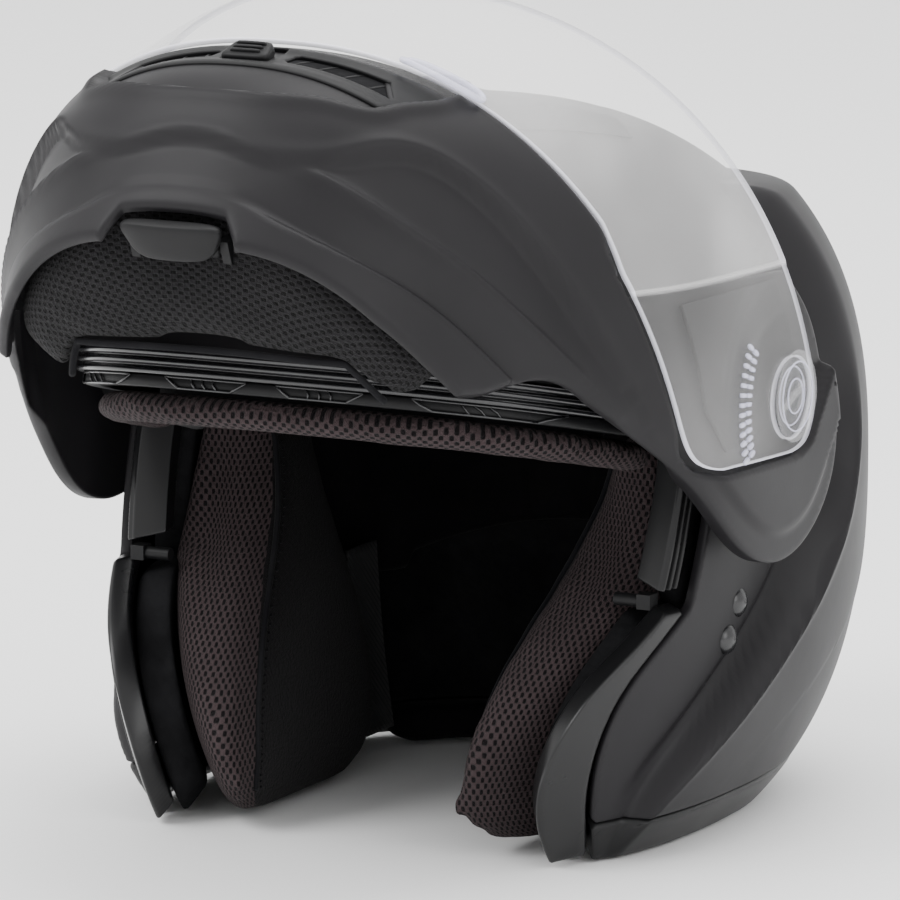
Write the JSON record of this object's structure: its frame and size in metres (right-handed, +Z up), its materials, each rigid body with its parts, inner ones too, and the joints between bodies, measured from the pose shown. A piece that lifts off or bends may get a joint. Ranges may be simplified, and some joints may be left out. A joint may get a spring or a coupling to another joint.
{
  "type": "modular motorcycle helmet",
  "caption": "Flip-up road helmet shown open: a hinged chin bar with a clear hinged face shield, raised over a padded shell.",
  "frame": {"origin": "flat bottom plane of the lower rim, on the centre plane, straight below the side hinge axis", "axes": "+Z up, -Y towards the front of the helmet, +X towards the wearer's left; the side hinges' axis is along X at 153 mm above the floor"},
  "size_m": [0.2648, 0.3578, 0.2879],
  "materials": {
    "shell_matte": "matte charcoal soft-touch coat",
    "trim_satin": "satin black",
    "gasket_rubber": "glossy black rubber",
    "liner_foam": "black expanded foam",
    "mesh_fabric": "mauve-brown spacer mesh",
    "plush_fabric": "dark brushed plush",
    "webbing": "black woven strap",
    "dark_plastic": "fine texture",
    "clear_shield": "clear, polished",
    "steel": "dark plated steel"
  },
  "bodies": {
    "helmet": {"outer_shell": "shell_matte", "base_rim": "shell_matte", "eps_liner": "liner_foam", "crown_pad": "mesh_fabric", "neck_roll": "plush_fabric", "forehead_pad": "mesh_fabric", "eyeport_gasket": "gasket_rubber", "brow_vent_strip": "dark_plastic", "brow_pad": "mesh_fabric", "cheek_pad_left": "plush_fabric", "cheek_pad_right": "plush_fabric", "cheek_backing_left": "dark_plastic", "cheek_backing_right": "dark_plastic", "side_seal_left": "gasket_rubber", "side_seal_right": "gasket_rubber", "jaw_trim_left": "trim_satin", "jaw_trim_right": "trim_satin", "latch_striker_left": "steel", "latch_striker_right": "steel", "strap_rivets": "steel", "pivot_boss_left": "dark_plastic", "pivot_boss_right": "dark_plastic", "pivot_pin_left": "steel", "pivot_pin_right": "steel", "top_vent": "shell_matte", "rear_vent": "shell_matte", "strap_left": "webbing", "strap_right": "webbing"},
    "chin_bar": {"chin_bar_shell": "shell_matte", "chin_bar_liner": "liner_foam", "chin_mesh_pad": "mesh_fabric", "chin_upper_seal": "gasket_rubber", "chin_vent_frame": "shell_matte", "lever_bracket": "steel", "shield_plate_left": "dark_plastic", "shield_plate_right": "dark_plastic", "shield_hub_left": "dark_plastic", "shield_hub_right": "dark_plastic"},
    "shield": {"face_shield": "clear_shield"},
    "release_lever": {"release_lever": "shell_matte"},
    "latch_hook_left": {"latch_hook_left": "steel"},
    "latch_hook_right": {"latch_hook_right": "steel"},
    "chin_vent_slider": {"chin_vent_slider": "dark_plastic"},
    "top_vent_slider": {"top_vent_slider": "shell_matte"},
    "d_rings": {"d_rings": "steel"}
  },
  "joints": [
    {"name": "chin_bar_hinge", "type": "hinge", "parent": "helmet", "child": "chin_bar", "pos_m": [0, 0, 0.153], "axis": [1, 0, 0], "range_deg": [0, 68]},
    {"name": "shield_hinge", "type": "hinge", "parent": "chin_bar", "child": "shield", "pos_m": [0, 0, 0.153], "axis": [-1, 0, 0], "range_deg": [0, 48]},
    {"name": "release_lever_hinge", "type": "hinge", "parent": "chin_bar", "child": "release_lever", "pos_m": [0, -0.18203, 0.21913], "axis": [-1, 0, 0], "range_deg": [0, 10], "stiffness_Nm_per_rad": 0.3},
    {"name": "latch_hook_left_slide", "type": "slide", "parent": "chin_bar", "child": "latch_hook_left", "axis": [0, -0.3746, 0.9272], "range_m": [0, 0.003], "stiffness_N_per_m": 60},
    {"name": "latch_hook_right_slide", "type": "slide", "parent": "chin_bar", "child": "latch_hook_right", "axis": [0, -0.3746, 0.9272], "range_m": [0, 0.003], "stiffness_N_per_m": 60},
    {"name": "chin_vent_slide", "type": "slide", "parent": "chin_bar", "child": "chin_vent_slider", "axis": [0, 0.9272, 0.3746], "range_m": [0, 0.005]},
    {"name": "top_vent_slide", "type": "slide", "parent": "helmet", "child": "top_vent_slider", "axis": [0, -1, 0], "range_m": [0, 0.008]},
    {"name": "d_ring_swing", "type": "hinge", "parent": "helmet", "child": "d_rings", "pos_m": [0.053, 0.057, 0.03], "axis": [0, 1, 0], "range_deg": [-12, 30]}
  ]
}
